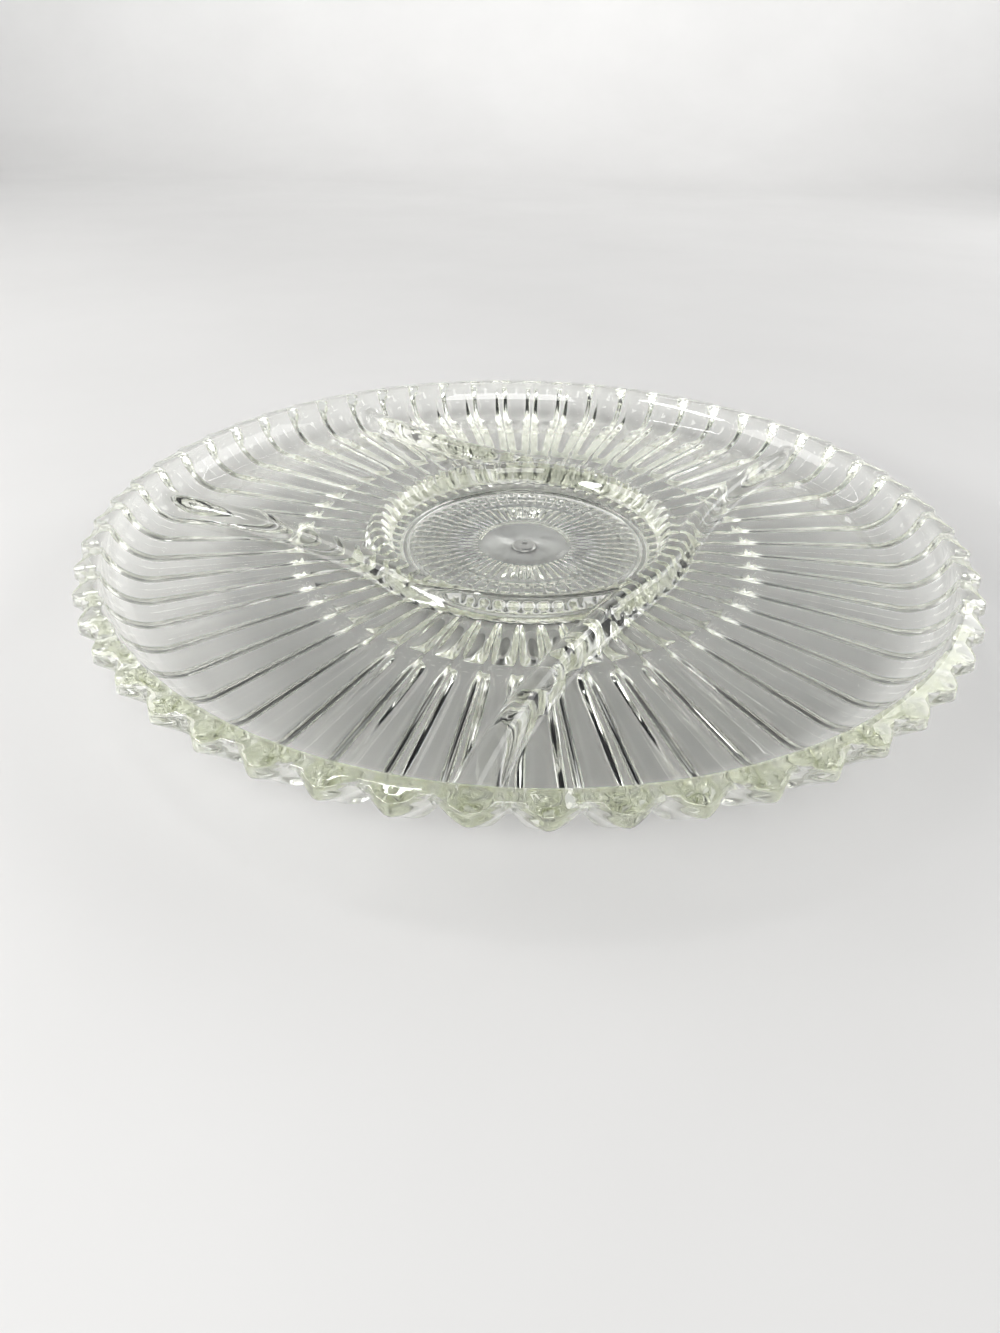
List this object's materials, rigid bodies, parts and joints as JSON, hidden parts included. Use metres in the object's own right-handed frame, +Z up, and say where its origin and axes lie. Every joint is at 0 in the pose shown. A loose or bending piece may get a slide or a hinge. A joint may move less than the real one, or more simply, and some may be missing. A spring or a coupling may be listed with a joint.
{
  "type": "lazy susan turntable",
  "caption": "Round clear pressed-glass divided relish tray with a sawtooth rim, ribbed underside and curved dividers, turning on a low ball-bearing swivel base.",
  "frame": {"origin": "on the table plane under the turning axis, at the underside of the rubber feet", "axes": "+Z up along the turning axis; +X to the right and -Y towards the viewer at rest, with a notch between two rim teeth exactly on -Y"},
  "size_m": [0.3554, 0.3554, 0.0356],
  "materials": {
    "clear_glass": "fire-polished pressed glass",
    "plate_metal": "satin",
    "bearing_steel": "polished",
    "rivet_metal": "satin",
    "cage_plastic": "matt",
    "pale_rubber": "matt",
    "black_rubber": "matt"
  },
  "bodies": {
    "base": {"base_plate": "plate_metal", "spacer_bush": "cage_plastic", "pivot_rivet": "rivet_metal", "rubber_foot_1": "black_rubber", "rubber_foot_2": "black_rubber", "rubber_foot_3": "black_rubber", "rubber_foot_4": "black_rubber"},
    "tray": {"glass_tray": "clear_glass", "grip_ring": "pale_rubber", "top_plate": "plate_metal"},
    "cage": {"ball_cage": "cage_plastic", "ball_01": "bearing_steel", "ball_02": "bearing_steel", "ball_03": "bearing_steel", "ball_04": "bearing_steel", "ball_05": "bearing_steel", "ball_06": "bearing_steel", "ball_07": "bearing_steel", "ball_08": "bearing_steel", "ball_09": "bearing_steel", "ball_10": "bearing_steel", "ball_11": "bearing_steel", "ball_12": "bearing_steel"}
  },
  "joints": [
    {"name": "tray_turn", "type": "hinge", "parent": "base", "child": "tray", "pos_m": [0, 0, 0], "axis": [0, 0, 1], "continuous": true},
    {"name": "cage_turn", "type": "hinge", "parent": "base", "child": "cage", "pos_m": [0, 0, 0], "axis": [0, 0, 1], "continuous": true}
  ],
  "couplings": [
    {"joint": "cage_turn", "follows": "tray_turn", "ratio": 0.5}
  ]
}
